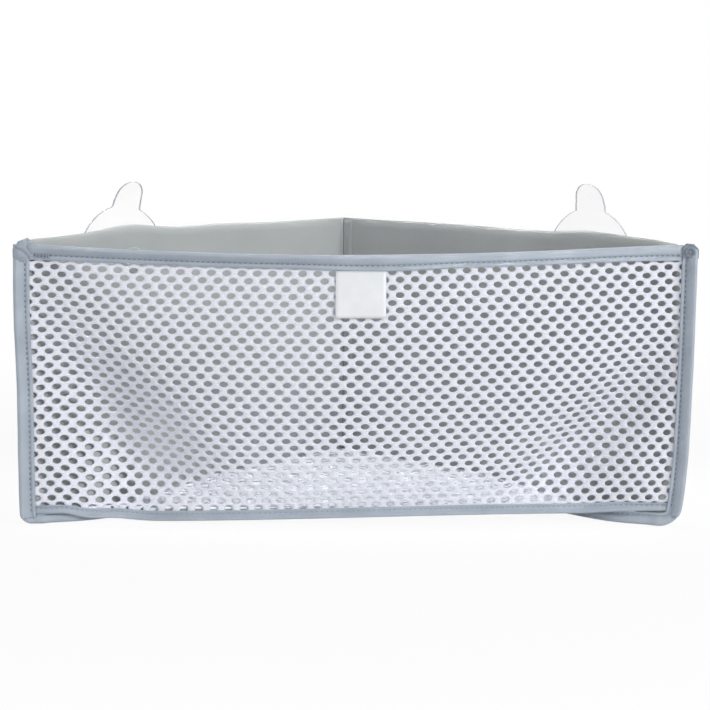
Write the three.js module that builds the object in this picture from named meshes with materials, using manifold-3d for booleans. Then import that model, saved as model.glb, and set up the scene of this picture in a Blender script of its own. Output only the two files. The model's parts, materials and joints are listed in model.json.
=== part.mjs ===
// Corner bath toy organizer, in millimetres, +Z up.
// A three-sided bag for a room's corner: a mesh panel across the front, two padded walls that meet
// in the rear corner, a mesh floor, folded tape over every seam and a suction cup behind each wall.
// The front faces -Y, the rear corner points along +Y and the bag stands on its lower seams.
import * as THREE from "three";
import { mergeVertices } from "three/addons/utils/BufferGeometryUtils.js";
import Module from "manifold-3d";

const wasm = await Module();
wasm.setup();

// Cloth and tape
const wallThickness = 2.5;
const meshThickness = 1.2;
const tapeThickness = 0.9;
const clearance = 0.3;

// The bag
const frontWidth = 440; // across the side bindings
const bagHeight = 186; // the side bindings, top to bottom
const sideSeam = 13; // width of a side binding
const topSeam = 10.5; // height of the binding on the mesh's top edge
const frontSeam = 6; // height of the binding under the front
const floorSeam = 9; // height of the bindings under the walls
const frontLift = 3; // how much higher than the corners the front's lower seam hangs

// The slack front panel
const topDrop = 4; // its top edge starts this far below the corners
const topSag = 5.2; // and hangs this much lower in the middle
const topBow = 6; // forward bow of the top edge
const bellyBulge = 11; // forward bulge of the panel
const foldDepth = 22; // depth of the fold that runs down from each side seam
const foldWidth = 33; // half width of that fold
const foldStart = 115; // height at which the fold leaves the side seam
const foldFromCentre = 143; // where it ends at the lower seam

// The net, drawn coarser than the knitted one
const netPitchX = 32;
const netPitchZ = 13.5;
const netGapWidth = 17;
const netGapHeight = 10;
const netMargin = 6; // plain cloth between a seam and the first gap

// The walls' top edge rises where a cup carries it
const wallRise = 4.5;
const wallRiseWidth = 30;
const wallStep = 8; // between points along the drawn-in foot, and twice that between points behind it

// The walls' slack: the foot is drawn in beside the front, the panel swells and the rear corner leans
const footPinch = 19; // how far the foot comes in
const pinchReach = 24; // along the wall, over about this length from the front seam
const pinchFrom = 70; // the foot runs back to its straight line between these two
const pinchTo = 160;
const pinchHeight = 90; // above this the wall stands straight
const wallSwell = 3; // outward, below the cup
const cornerLean = 9; // the rear corner lies this far to the left
const leanFrom = 140; // along the wall, where it starts to lean

// Suction cups
const cupFromSeam = 78; // along the wall, from the front seam to the stem
const cupBelowTop = 19; // from the bag's height down to the stem
const cupRadius = 36;
const cupRimWidth = 5;
const cupRimThickness = 1.2;
const cupHeight = 8; // from the sealing rim to the shoulder that meets the washer
const cupHollow = 3.2;
const cupCrown = 5.4; // height of the cup's body beside its boss
const bossRadius = 7;
const neckRadius = 4;
const knobRadius = 7;
const knobHeight = 5.3;
const tabWidth = 25;
const tabReach = 16.5; // past the rim
const tabThickness = 1.4;
const tabLift = 6; // the tip stands this far off the room's wall
const cupSides = 32;
const leftCupTurn = 5; // degrees that the left tab is turned towards the rear corner

// Eyelets
const eyeletBarrel = 0.8; // wall of the barrel round the stem
const eyeletFlange = 1.2;
const eyeletRadius = 9;
const eyeletSides = 24;

// Sewn-in tag and corner tape
const tagWidth = 32;
const tagHeight = 29;
const tagThickness = 1;
const tagFromCentre = 3.5;
const tagDrop = 0.8; // below the top binding
const tagOffMesh = 0.45;
const cornerTapeShort = 3;
const cornerTapeLong = 8;
const cornerTapeBelowTop = 3;
const floorCornerCut = 22;

// Places that follow from those sizes
const seamX = frontWidth / 2 - sideSeam - clearance; // where a wall bends away from the front
const flangeY = meshThickness / 2 + clearance + wallThickness / 2; // middle of a wall inside the side seam
const panelEdge = tapeThickness + clearance; // from a binding's fold to the cloth inside it
const panelHalfWidth = frontWidth / 2 - panelEdge;
const meshBottom = frontLift + panelEdge;
const floorBottom = Math.max(floorSeam, frontLift + frontSeam) + clearance;
const floorTop = floorBottom + meshThickness;
const netBottom = floorTop + netMargin / 2;
const netHalfWidth = seamX - netMargin;
const cupZ = bagHeight - cupBelowTop;
const washerBack = wallThickness / 2 + clearance + eyeletFlange;
const boreRadius = neckRadius + clearance;
const barrelRadius = boreRadius + eyeletBarrel;
const holeRadius = barrelRadius + clearance;
const shoulderY = washerBack + clearance;
const rimY = shoulderY + cupHeight;
const diagonal = Math.SQRT2; // the walls stand at 45 degrees to the front
const wallLength = seamX * diagonal;
const swellTop = cupZ - 2 * eyeletRadius;
const bendMitre = Math.tan(Math.PI / 8);

const materials = {
  mesh: new THREE.MeshStandardMaterial({ color: 0xe9eaf2, roughness: 0.85, metalness: 0 }),
  wall: new THREE.MeshStandardMaterial({ color: 0xa3a8a5, roughness: 0.9, metalness: 0 }),
  tape: new THREE.MeshStandardMaterial({ color: 0x9ba5b0, roughness: 0.7, metalness: 0 }),
  tag: new THREE.MeshStandardMaterial({ color: 0xe2e5e8, roughness: 0.6, metalness: 0 }),
  cup: new THREE.MeshStandardMaterial({
    color: 0xf1f3f5, roughness: 0.15, metalness: 0, transparent: true, opacity: 0.4,
  }),
  eyelet: new THREE.MeshStandardMaterial({ color: 0x8d9499, roughness: 0.5, metalness: 0 }),
};

// Solids from geometry, and geometry from solids

function solidOf(geometry) {
  const bare = geometry.clone();
  bare.deleteAttribute("normal");
  bare.deleteAttribute("uv");
  const merged = mergeVertices(bare, 1e-4);
  return new wasm.Manifold(
    new wasm.Mesh({
      numProp: 3,
      vertProperties: new Float32Array(merged.attributes.position.array),
      triVerts: new Uint32Array(merged.index.array),
    }),
  );
}

function geometryOf(solid) {
  const mesh = solid.getMesh();
  const geometry = new THREE.BufferGeometry();
  geometry.setAttribute("position", new THREE.BufferAttribute(mesh.vertProperties, 3));
  geometry.setIndex(new THREE.BufferAttribute(mesh.triVerts, 1));
  return geometry;
}

function indexedGeometry(points, triangles) {
  const geometry = new THREE.BufferGeometry();
  const flat = points.flatMap((p) => [p.x, p.y, p.z]);
  geometry.setAttribute("position", new THREE.Float32BufferAttribute(flat, 3));
  geometry.setIndex(triangles.flat());
  return geometry;
}

// Joins equal loops of points into one closed skin, with the same triangles over both ends
function loftLoops(loops, capTriangles) {
  const count = loops[0].length;
  const points = loops.flat();
  const triangles = [];
  for (let s = 0; s + 1 < loops.length; s++) {
    for (let i = 0; i < count; i++) {
      const a = s * count + i;
      const b = s * count + ((i + 1) % count);
      triangles.push([a, b, a + count], [b, b + count, a + count]);
    }
  }
  const last = (loops.length - 1) * count;
  for (const [a, b, c] of capTriangles) triangles.push([a, c, b], [last + a, last + b, last + c]);
  return facingOut(points, triangles);
}

// End cap of a loop that runs up one side of a strip and down the other
function stripCap(levels) {
  const triangles = [];
  for (let i = 0; i + 1 < levels; i++) {
    const across = 2 * levels - 1 - i;
    triangles.push([i, i + 1, across], [i + 1, across - 1, across]);
  }
  return triangles;
}

// Turns every triangle round if the skin encloses a negative volume.
function facingOut(points, triangles) {
  const volume = triangles.reduce(
    (sum, [a, b, c]) => sum + points[a].dot(points[b].clone().cross(points[c])),
    0,
  );
  const turned = volume < 0 ? triangles.map(([a, b, c]) => [a, c, b]) : triangles;
  return indexedGeometry(points, turned);
}

// Gives a flat pattern of triangles a thickness: place(point, side) puts both faces in space,
// and every edge that only one triangle uses gets a wall, so gaps in the pattern become holes.
function thickSheet(flatPoints, triangles, place) {
  const count = flatPoints.length;
  const points = [
    ...flatPoints.map((p) => place(p, -1)),
    ...flatPoints.map((p) => place(p, 1)),
  ];
  const edges = new Set();
  for (const [a, b, c] of triangles) {
    edges.add(`${a} ${b}`).add(`${b} ${c}`).add(`${c} ${a}`);
  }
  const skin = [];
  for (const [a, b, c] of triangles) {
    skin.push([a, b, c], [a + count, c + count, b + count]);
  }
  for (const edge of edges) {
    const [a, b] = edge.split(" ").map(Number);
    if (!edges.has(`${b} ${a}`)) skin.push([b, a, a + count], [b, a + count, b + count]);
  }
  return facingOut(points, skin);
}

// Section of a folded tape: x across the cloth from front to back, y in from the fold.
function foldedTape(front, back, depth) {
  const t = tapeThickness;
  const corner = t - t * Math.SQRT1_2;
  return [
    [front, depth], [front, t], [front + corner, corner], [front + t, 0],
    [back - t, 0], [back - corner, corner], [back, t], [back, depth],
    [back - t, depth], [back - t, t], [front + t, t], [front + t, depth],
  ].map(([x, y]) => new THREE.Vector2(x, y));
}

function tapeAlong(section, stations, place) {
  const loops = stations.map((station) => section.map((p) => place(station, p.x, p.y)));
  return loftLoops(loops, THREE.ShapeUtils.triangulateShape(section, []));
}

function evenSteps(from, to, count) {
  return Array.from({ length: count + 1 }, (_, i) => from + ((to - from) * i) / count);
}

function piece(name, geometry, material) {
  const mesh = new THREE.Mesh(geometry, material);
  mesh.name = name;
  return mesh;
}

// The front panel's shape

function acrossFront(x) {
  return THREE.MathUtils.clamp(x / seamX, -1, 1);
}

function frontTop(x) {
  const p = acrossFront(x);
  return bagHeight - topDrop - topSag * (1 - p * p);
}

function netTop(x) {
  return frontTop(x) - topSeam - netMargin / 2;
}

// How far back the slack front lies at a point: a forward bulge, and a fold down from each side seam.
function frontDepth(x, z) {
  const p = acrossFront(x);
  const q = THREE.MathUtils.clamp((z - netBottom) / (netTop(x) - netBottom), 0, 1);
  const bulge = bellyBulge * Math.sin(Math.PI * q) + topBow * q * q * (3 - 2 * q);
  const upFold = Math.max(0, z - netBottom) / (foldStart - netBottom);
  const foldX = THREE.MathUtils.lerp(foldFromCentre, seamX, upFold);
  const foldGrowth = 6.75 * q * (1 - q) * (1 - q); // one at its deepest, a third of the way up
  const fold = foldDepth * foldGrowth * Math.exp(-(((Math.abs(x) - foldX) / foldWidth) ** 2));
  return fold * (1 - p ** 6) - bulge * (1 - p * p); // both end at the side seams
}

// A brick pattern of cells with a six-sided gap in each, and plain cloth along its four edges
function frontMesh() {
  const columns = Math.max(2, Math.round((2 * netHalfWidth) / netPitchX));
  const rows = Math.max(2, Math.round((netTop(0) - netBottom) / netPitchZ));
  const points = [];
  const triangles = [];
  const quad = (a, b, c, d) => triangles.push([a, b, c], [a, c, d]);
  const add = (x, z) => points.push(new THREE.Vector2(x, z)) - 1;

  const halfSteps = evenSteps(-netHalfWidth, netHalfWidth, 2 * columns);
  const lines = [-panelHalfWidth, -seamX, ...halfSteps, seamX, panelHalfWidth];
  const netZ = (x, j) => THREE.MathUtils.lerp(netBottom, netTop(x), j / rows);
  const grid = lines.map((x) => [
    add(x, meshBottom),
    ...evenSteps(0, rows, rows).map((j) => add(x, netZ(x, j))),
    add(x, frontTop(x) - panelEdge),
  ]);

  const plain = (i, j) => quad(grid[i][j], grid[i + 1][j], grid[i + 1][j + 1], grid[i][j + 1]);
  const last = lines.length - 1;
  const netFirst = lines.indexOf(halfSteps[0]);
  const netLast = last - netFirst;
  for (let i = 0; i < last; i++) {
    plain(i, 0);
    plain(i, rows + 1);
  }
  for (let j = 1; j <= rows; j++) {
    const shift = j % 2; // every other row starts half a cell in
    for (let i = 0; i < netFirst + shift; i++) {
      plain(i, j);
      plain(last - 1 - i, j);
    }
    for (let i = netFirst + shift; i + 2 <= netLast; i += 2) gapCell(i, j);
  }

  function gapCell(i, j) {
    const outer = [
      grid[i][j], grid[i + 1][j], grid[i + 2][j],
      grid[i + 2][j + 1], grid[i + 1][j + 1], grid[i][j + 1],
    ];
    const middle = points[grid[i + 1][j]].clone().lerp(points[grid[i + 1][j + 1]], 0.5);
    const inner = hexagon().map((p) => add(middle.x + p.x, middle.y + p.y));
    outer.forEach((a, k) => quad(a, outer[(k + 1) % 6], inner[(k + 1) % 6], inner[k]));
  }

  return thickSheet(points, triangles, (p, side) =>
    new THREE.Vector3(p.x, frontDepth(p.x, p.y) + (side * meshThickness) / 2, p.y));
}

function hexagon() {
  const w = netGapWidth / 2;
  const h = netGapHeight / 2;
  return [[-w, -h / 2], [0, -h], [w, -h / 2], [w, h / 2], [0, h], [-w, h / 2]]
    .map(([x, y]) => new THREE.Vector2(x, y));
}

// The floor: a plate with edges turned down into the seams

// Line along a wall's foot in plan, from the cut corner to the rear one
function footLine(side, across, cut) {
  const line = wallStations(mitreEnd(across, 0)).map((s) => wallPoint(s, across, 0, leanOf(side)));
  const first = line.findIndex((p) => p.x > -cut);
  const before = line[first - 1];
  const start = before.clone().lerp(line[first], (-cut - before.x) / (line[first].x - before.x));
  return [start, ...line.slice(first)].map((p) => [side === "left" ? p.x : -p.x, p.y]);
}

function prism(outline, from, to) {
  const shape = new THREE.Shape(outline.map(([x, y]) => new THREE.Vector2(x, y)));
  const geometry = new THREE.ExtrudeGeometry(shape, { depth: to - from, bevelEnabled: false });
  return solidOf(geometry.translate(0, 0, from));
}

function floorMesh() {
  const cut = seamX - floorCornerCut;
  const frontLine = meshThickness / 2 + clearance;
  const wallLine = -(wallThickness / 2 + clearance);
  const outline = (half, front, across) => [
    [-half, front], [half, front], ...footLine("right", across, half),
    ...footLine("left", across, half).reverse().slice(1),
  ];
  const inFront = frontLine + meshThickness;
  const inWall = wallLine - meshThickness;
  const pocketHalf = cut + floorCornerCut / 3; // reaches past the cut corners, which have no edge
  const tray = prism(outline(cut, frontLine, wallLine), panelEdge, floorTop)
    .subtract(prism(outline(pocketHalf, inFront, inWall), -meshThickness, floorBottom));
  const frontEdgeTrim = [[-frontWidth, -meshThickness], [frontWidth, -meshThickness],
    [frontWidth, inFront + clearance], [-frontWidth, inFront + clearance]];
  let floor = tray.subtract(prism(frontEdgeTrim, -meshThickness, meshBottom));

  const inset = netMargin + meshThickness;
  const netEdge = outline(cut - inset, inFront + inset, inWall - inset);
  const rows = Math.floor(seamX / netPitchZ);
  const columns = Math.floor(seamX / netPitchX);
  for (let j = 0; j < rows; j++) {
    const y = inFront + inset + netGapHeight / 2 + clearance + j * netPitchZ;
    const shift = j % 2 ? netPitchX / 2 : 0;
    for (let i = -columns; i <= columns; i++) {
      const gap = hexagon().map((p) => [shift + i * netPitchX + p.x, y + p.y]);
      if (!gap.every((p) => isInside(p, netEdge))) continue;
      floor = floor.subtract(prism(gap, floorBottom - meshThickness, floorTop + meshThickness));
    }
  }
  return geometryOf(floor);
}

function isInside([x, y], outline) {
  const crossed = outline.filter(([ax, ay], i) => {
    const [bx, by] = outline[(i + 1) % outline.length];
    return ay > y !== by > y && x < ax + ((bx - ax) * (y - ay)) / (by - ay);
  });
  return crossed.length % 2 === 1;
}

// One wall with its seams, eyelet and cup, modelled on the left

function wallTop(s) {
  return bagHeight + wallRise * Math.exp(-(((s - cupFromSeam) / wallRiseWidth) ** 2));
}

// Where the line at this distance across the wall meets the plane halfway between the two walls
function mitreEnd(across, gap) {
  return (seamX - gap / 2) * diagonal + across;
}

// How far out from its straight line the wall's middle lies
function wallSlack(s, z) {
  const comesIn = 1 - Math.exp(-((Math.max(0, s) / pinchReach) ** 1.5));
  const goesBack = 1 - THREE.MathUtils.smoothstep(s, pinchFrom, pinchTo);
  const lowDown = 1 - THREE.MathUtils.smoothstep(z, floorTop, pinchHeight);
  const along = THREE.MathUtils.clamp(s / wallLength, 0, 1);
  const up = THREE.MathUtils.clamp((z - floorTop) / (swellTop - floorTop), 0, 1);
  const swell = wallSwell * Math.sin(Math.PI * along) * Math.sin(Math.PI * up);
  return swell - footPinch * comesIn * goesBack * lowDown;
}

// The right-hand side is mirrored, so the corner's lean turns round there.
function leanOf(side) {
  return side === "left" ? -cornerLean : cornerLean;
}

// Plan point beside a wall, where across is measured from the wall's middle, outward positive
function wallPoint(s, across, z, lean) {
  const out = across + wallSlack(s, z);
  const x = -seamX + (s - out) / diagonal + lean * THREE.MathUtils.smoothstep(s, leanFrom, wallLength);
  return new THREE.Vector2(x, flangeY + (s + out) / diagonal);
}

// Places along a wall that everything beside it shares, with its own end
function wallStations(end) {
  const drawnIn = evenSteps(0, pinchTo, Math.max(4, Math.round(pinchTo / wallStep)));
  const behind = (wallLength - pinchTo) / (2 * wallStep);
  const straight = evenSteps(pinchTo, wallLength, Math.max(2, Math.round(behind)));
  return [...drawnIn, ...straight.slice(1, -1), end];
}

function wallPanel(lean) {
  const half = wallThickness / 2;
  const slackHeights = [panelEdge, ...evenSteps(floorTop, pinchHeight, 4),
    THREE.MathUtils.lerp(pinchHeight, swellTop, 0.5), swellTop];
  const column = (top, planPoint) => {
    const heights = [...slackHeights, top];
    const face = (across) => heights.map((z) => {
      const p = planPoint(across, z);
      return new THREE.Vector3(p.x, p.y, z);
    });
    return [...face(-half), ...face(half).reverse()];
  };
  const loops = [
    column(wallTop(0) - panelEdge, (across) => new THREE.Vector2(-panelHalfWidth, flangeY + across)),
    column(wallTop(0), (across) => new THREE.Vector2(-seamX - across * bendMitre, flangeY + across)),
    ...wallStations(wallLength).slice(1, -1)
      .map((s) => column(wallTop(s), (across, z) => wallPoint(s, across, z, lean))),
    column(wallTop(wallLength), (across, z) => wallPoint(mitreEnd(across, clearance), across, z, lean)),
  ];
  const panel = solidOf(loftLoops(loops, stripCap(slackHeights.length + 1)));

  const drill = new THREE.CylinderGeometry(holeRadius, holeRadius, wallThickness * 3, eyeletSides);
  const stem = wallPoint(cupFromSeam, 0, cupZ, lean);
  drill.rotateZ(Math.PI / 4).translate(stem.x, stem.y, cupZ);
  return geometryOf(panel.subtract(solidOf(drill)));
}

function sideBinding() {
  const front = -(meshThickness / 2 + clearance + tapeThickness);
  const back = flangeY + wallThickness / 2 + clearance + tapeThickness;
  const section = foldedTape(front, back, sideSeam);
  return tapeAlong(section, [0, bagHeight], (z, across, depth) =>
    new THREE.Vector3(-frontWidth / 2 + depth, across, z));
}

// Where a binding on the front, with its back face here, comes clear of the wall at this height
function frontBindingStart(backFace, z) {
  const line = wallStations(wallLength).map((s) => wallPoint(s, -wallThickness / 2, z, 0));
  const next = line.findIndex((p) => p.y >= backFace + clearance);
  const before = line[next - 1];
  const share = (backFace + clearance - before.y) / (line[next].y - before.y);
  return THREE.MathUtils.lerp(before.x, line[next].x, share);
}

function frontBottomBack() {
  return meshThickness * 1.5 + 2 * clearance + tapeThickness;
}

function floorBinding(lean) {
  const outer = wallThickness / 2 + clearance + tapeThickness;
  const inner = -(wallThickness / 2 + 2 * clearance + meshThickness + tapeThickness);
  const clearsFront = (s) => wallPoint(s, inner, 0, lean).y >= frontBottomBack() + clearance;
  const stations = wallStations(wallLength).filter(clearsFront);
  const section = foldedTape(inner, outer, floorSeam);
  return tapeAlong(section, stations, (station, across, height) => {
    const s = station < wallLength ? station : mitreEnd(across, clearance);
    const p = wallPoint(s, across, 0, lean);
    return new THREE.Vector3(p.x, p.y, height);
  });
}

function lathe(profile, sides) {
  const points = profile.map(([r, y]) => new THREE.Vector2(r, y));
  const solid = solidOf(new THREE.LatheGeometry(points, sides));
  if (solid.volume() > 0) return solid;
  return solidOf(new THREE.LatheGeometry(points.reverse(), sides));
}

// Flange inside the bag with the barrel that runs back through the wall
function eyelet() {
  const front = -(wallThickness / 2 + clearance + eyeletFlange);
  const seat = -(wallThickness / 2 + clearance);
  return geometryOf(lathe([
    [boreRadius, front], [eyeletRadius, front], [eyeletRadius, seat],
    [barrelRadius, seat], [barrelRadius, washerBack], [boreRadius, washerBack], [boreRadius, front],
  ], eyeletSides));
}

function eyeletWasher() {
  const seat = washerBack - eyeletFlange;
  return geometryOf(lathe([
    [holeRadius, seat], [eyeletRadius, seat], [eyeletRadius, washerBack],
    [holeRadius, washerBack], [holeRadius, seat],
  ], eyeletSides));
}

// Cup, boss, neck and knob in one moulding, with its axis along Y and its sealing rim at the back
function suctionCup() {
  const rimInner = cupRadius - cupRimWidth;
  const neckEnd = -(washerBack + clearance);
  const span = rimInner - bossRadius;
  const body = lathe([
    [0, rimY - cupHollow], [rimInner * 0.5, rimY - cupHollow * 0.8],
    [rimInner * 0.85, rimY - cupHollow * 0.36],
    [rimInner, rimY], [cupRadius, rimY], [cupRadius, rimY - cupRimThickness],
    [rimInner, rimY - cupRimThickness - 0.5], [bossRadius + span * 0.5, rimY - cupCrown * 0.72],
    [bossRadius + span * 0.15, rimY - cupCrown], [bossRadius, rimY - cupCrown - 0.6],
    [bossRadius, shoulderY], [neckRadius, shoulderY], [neckRadius, neckEnd], [knobRadius, neckEnd],
    [knobRadius, neckEnd - knobHeight * 0.3], [knobRadius * 0.8, neckEnd - knobHeight * 0.7],
    [knobRadius * 0.4, neckEnd - knobHeight * 0.95], [0, neckEnd - knobHeight],
  ], cupSides);
  return geometryOf(body.add(solidOf(pullTab())));
}

// Tongue that leaves the rim flat and curls off the room's wall towards its round tip
function pullTab() {
  const root = cupRadius - cupRimWidth * 0.7;
  const tip = cupRadius + tabReach;
  const roundFrom = tip - tabWidth * 0.42;
  const outline = (z) => {
    const past = Math.max(0, (z - roundFrom) / (tip - roundFrom));
    return (tabWidth / 2) * Math.sqrt(1 - 0.94 * past * past);
  };
  const heights = [...evenSteps(root, roundFrom, 3), ...evenSteps(roundFrom, tip, 5).slice(1)];
  const offRim = clearance / 2;
  const loops = heights.map((z) => {
    const curl = Math.max(0, (z - cupRadius) / tabReach);
    const y = rimY - offRim - tabLift * curl ** 1.5;
    const w = outline(z);
    return [[-w, y], [w, y], [w, y - tabThickness], [-w, y - tabThickness]]
      .map(([px, py]) => new THREE.Vector3(px, py, z));
  });
  return loftLoops(loops, stripCap(2));
}

function sideAssembly(side) {
  const lean = leanOf(side);
  const group = new THREE.Group();
  group.add(
    piece(`${side}_wall`, wallPanel(lean), materials.wall),
    piece(`${side}_side_binding`, sideBinding(), materials.tape),
    piece(`${side}_floor_binding`, floorBinding(lean), materials.tape),
  );
  const stem = new THREE.Group(); // along the wall, with +Y out through its back
  const foot = wallPoint(cupFromSeam, 0, cupZ, lean);
  stem.position.set(foot.x, foot.y, cupZ);
  stem.rotation.z = Math.PI / 4;
  const cup = piece(`${side}_suction_cup`, suctionCup(), materials.cup);
  if (side === "left") cup.rotation.y = THREE.MathUtils.degToRad(leftCupTurn);
  stem.add(
    piece(`${side}_eyelet`, eyelet(), materials.eyelet),
    piece(`${side}_eyelet_washer`, eyeletWasher(), materials.eyelet),
    cup,
  );
  group.add(stem);
  if (side === "right") group.scale.x = -1;
  return group;
}

// The front's own bindings, the tag and the corner tape

function frontTopBinding() {
  const half = meshThickness / 2 + clearance + tapeThickness;
  const end = frontBindingStart(half, bagHeight);
  const section = foldedTape(-half, half, topSeam);
  return tapeAlong(section, evenSteps(end, -end, 14), (x, across, depth) =>
    new THREE.Vector3(x, frontDepth(x, bagHeight) + across, frontTop(x) - depth));
}

function frontBottomBinding() {
  const front = -(meshThickness / 2 + clearance + tapeThickness);
  const end = frontBindingStart(frontBottomBack(), 0);
  const section = foldedTape(front, frontBottomBack(), frontSeam);
  return tapeAlong(section, [end, -end], (x, across, depth) =>
    new THREE.Vector3(x, across, frontLift + depth));
}

// The tag hangs in front of the mesh and follows its slope.
function frontTag() {
  const top = frontTop(tagFromCentre) - topSeam - tagDrop;
  const loops = evenSteps(top, top - tagHeight, 5).map((z) => {
    const back = frontDepth(tagFromCentre, z) - meshThickness / 2 - tagOffMesh;
    const left = tagFromCentre - tagWidth / 2;
    const right = tagFromCentre + tagWidth / 2;
    return [[left, back], [right, back], [right, back - tagThickness], [left, back - tagThickness]]
      .map(([x, y]) => new THREE.Vector3(x, y, z));
  });
  return loftLoops(loops, stripCap(2));
}

// Angle of tape over the seam inside the rear corner, its wide leg on the right wall
function cornerTape() {
  const back = seamX + flangeY - (wallThickness / 2 + clearance) * diagonal;
  const front = back - tapeThickness * diagonal;
  const a = cornerTapeShort / diagonal;
  const b = cornerTapeLong / diagonal;
  const t = tapeThickness / diagonal;
  const outline = [[0, back], [-a, back - a], [-a + t, back - a - t], [0, front],
    [b - t, back - b - t], [b, back - b]].map(([x, y]) => [x - cornerLean, y]);
  const solid = prism(outline, floorTop + clearance, bagHeight - cornerTapeBelowTop);
  return geometryOf(solid);
}

const bag = new THREE.Group();
bag.add(
  piece("front_mesh", frontMesh(), materials.mesh),
  piece("floor_mesh", floorMesh(), materials.mesh),
  piece("front_top_binding", frontTopBinding(), materials.tape),
  piece("front_bottom_binding", frontBottomBinding(), materials.tape),
  piece("front_tag", frontTag(), materials.tag),
  piece("rear_corner_tape", cornerTape(), materials.tape),
  sideAssembly("left"),
  sideAssembly("right"),
);

// The origin lies under the middle of the bag's box, on the plane that it stands on.
const box = new THREE.Box3().setFromObject(bag, true);
const middle = box.getCenter(new THREE.Vector3());
bag.position.set(-middle.x, -middle.y, -box.min.z);

const organizer = new THREE.Group();
organizer.add(bag);

export default organizer;
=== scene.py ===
import json
import math

import bmesh
import bpy
import numpy as np
from mathutils import Matrix, Vector


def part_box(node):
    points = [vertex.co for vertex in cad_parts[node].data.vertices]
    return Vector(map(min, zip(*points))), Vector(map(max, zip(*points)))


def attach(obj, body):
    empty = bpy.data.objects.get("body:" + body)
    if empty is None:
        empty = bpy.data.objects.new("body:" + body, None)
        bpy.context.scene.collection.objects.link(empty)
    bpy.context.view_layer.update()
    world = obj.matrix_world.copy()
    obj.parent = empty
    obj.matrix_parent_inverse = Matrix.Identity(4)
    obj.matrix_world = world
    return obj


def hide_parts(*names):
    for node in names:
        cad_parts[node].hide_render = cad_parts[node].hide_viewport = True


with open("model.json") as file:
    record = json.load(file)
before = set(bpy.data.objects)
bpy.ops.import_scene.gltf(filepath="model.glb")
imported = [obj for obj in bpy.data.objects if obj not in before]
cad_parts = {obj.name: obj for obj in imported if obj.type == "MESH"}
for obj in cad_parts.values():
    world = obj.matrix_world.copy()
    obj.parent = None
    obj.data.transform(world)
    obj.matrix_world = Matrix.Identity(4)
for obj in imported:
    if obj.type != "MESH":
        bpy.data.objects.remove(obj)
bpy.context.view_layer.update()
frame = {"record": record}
mm = 0.001  # sizes below are in millimetres, objects in metres
print("frame loaded")


def nodeBox(node):
    low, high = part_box(node)
    return np.array(low) / mm, np.array(high) / mm


# the bag's own sizes, read from the frame
sideLow, sideHigh = nodeBox("left_side_binding")
topLow, topHigh = nodeBox("front_top_binding")
tagLow, tagHigh = nodeBox("front_tag")
floorTop = nodeBox("floor_mesh")[1][2]
floorTapeTop = nodeBox("left_floor_binding")[1][2]
stemJoint = next(j for j in frame["record"]["behaviour"]["joints"] if j["name"] == "left_cup_swivel")

bag = dict(
    halfWidth=-sideLow[0], height=sideHigh[2], sideSeam=sideHigh[0] - sideLow[0],
    wall=2.5, knit=1.2, tape=0.9, gap=0.3,  # thicknesses, and the room between layers
)
root2 = math.sqrt(2)  # the walls stand at 45 degrees to the front
seamX = bag["halfWidth"] - bag["sideSeam"] - bag["gap"]  # where a wall bends away from the front
frontY = sideLow[1] + bag["knit"] / 2 + bag["gap"] + bag["tape"]  # middle of the mesh at the side seams
flangeY = frontY + bag["knit"] / 2 + bag["gap"] + bag["wall"] / 2  # middle of a wall's edge in that seam
wallLength = seamX * root2
stemAt = np.array(stemJoint["pos_m"]) / mm
stemAlong = (stemAt[0] + seamX) * root2  # along the wall from its bend
stemZ = stemAt[2]

sceneCollection = bpy.context.scene.collection
bpy.context.scene.view_settings.view_transform = "Standard"

# camera, fitted to the photograph's corners, seams and cups

cameraView = dict(
    fromFront=1242, height=283.7, sideways=-0.05, tilt=7.923, roll=0.32,
    focalPixels=1932, framePixels=710, sensor=36, clipEnd=20,
)


def makeCamera():
    c = cameraView
    camera = bpy.data.cameras.new("camera")
    camera.sensor_width = c["sensor"]
    camera.lens = c["focalPixels"] / c["framePixels"] * c["sensor"]
    camera.clip_end = c["clipEnd"]
    cameraObject = bpy.data.objects.new("camera", camera)
    sceneCollection.objects.link(cameraObject)
    cameraObject.matrix_world = (
        Matrix.Translation((c["sideways"] * mm, (frontY - c["fromFront"]) * mm, c["height"] * mm))
        @ Matrix.Rotation(math.radians(90 - c["tilt"]), 4, "X")
        @ Matrix.Rotation(math.radians(c["roll"]), 4, "Z")
    )
    bpy.context.scene.camera = cameraObject


makeCamera()


# small tools

def toLinear(hexColour):
    parts = [int(hexColour[i:i + 2], 16) / 255 for i in (1, 3, 5)]
    return [c / 12.92 if c <= 0.04045 else ((c + 0.055) / 1.055) ** 2.4 for c in parts] + [1.0]


def addNode(tree, kind, links=None, **settings):
    # links gives each input a value or another node's output; a Mix node's inputs go by number
    node = tree.nodes.new("ShaderNode" + kind)
    for key, value in settings.items():
        setattr(node, key, value)
    for socket, value in (links or {}).items():
        if isinstance(value, bpy.types.NodeSocket):
            tree.links.new(value, node.inputs[socket])
        else:
            node.inputs[socket].default_value = value
    return node


def newMaterial(name):
    material = bpy.data.materials.new(name)
    material.use_nodes = True
    tree = material.node_tree
    tree.nodes.clear()
    return material, tree, addNode(tree, "TexCoord").outputs["Object"]


def bump(x, centre, width):
    # a soft hump of height 1
    return np.exp(-((x - centre) / width) ** 2)


def ramp(x, start, end):
    # climbs softly from 0 at start to 1 at end
    t = np.clip((x - start) / (end - start), 0, 1)
    return t * t * (3 - 2 * t)


def lerp(a, b, t):
    return a + (b - a) * t


def asArrays(*values):
    return np.broadcast_arrays(*(np.asarray(v, float) for v in values))


def xyz(x, y, z):
    return np.stack(asArrays(x, y, z), -1)


def runThrough(start, turn, end, before, after):
    # stations from start to end, with their own count before and after the turn
    return np.concatenate([np.linspace(start, turn, before), np.linspace(turn, end, after)[1:]])


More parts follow.
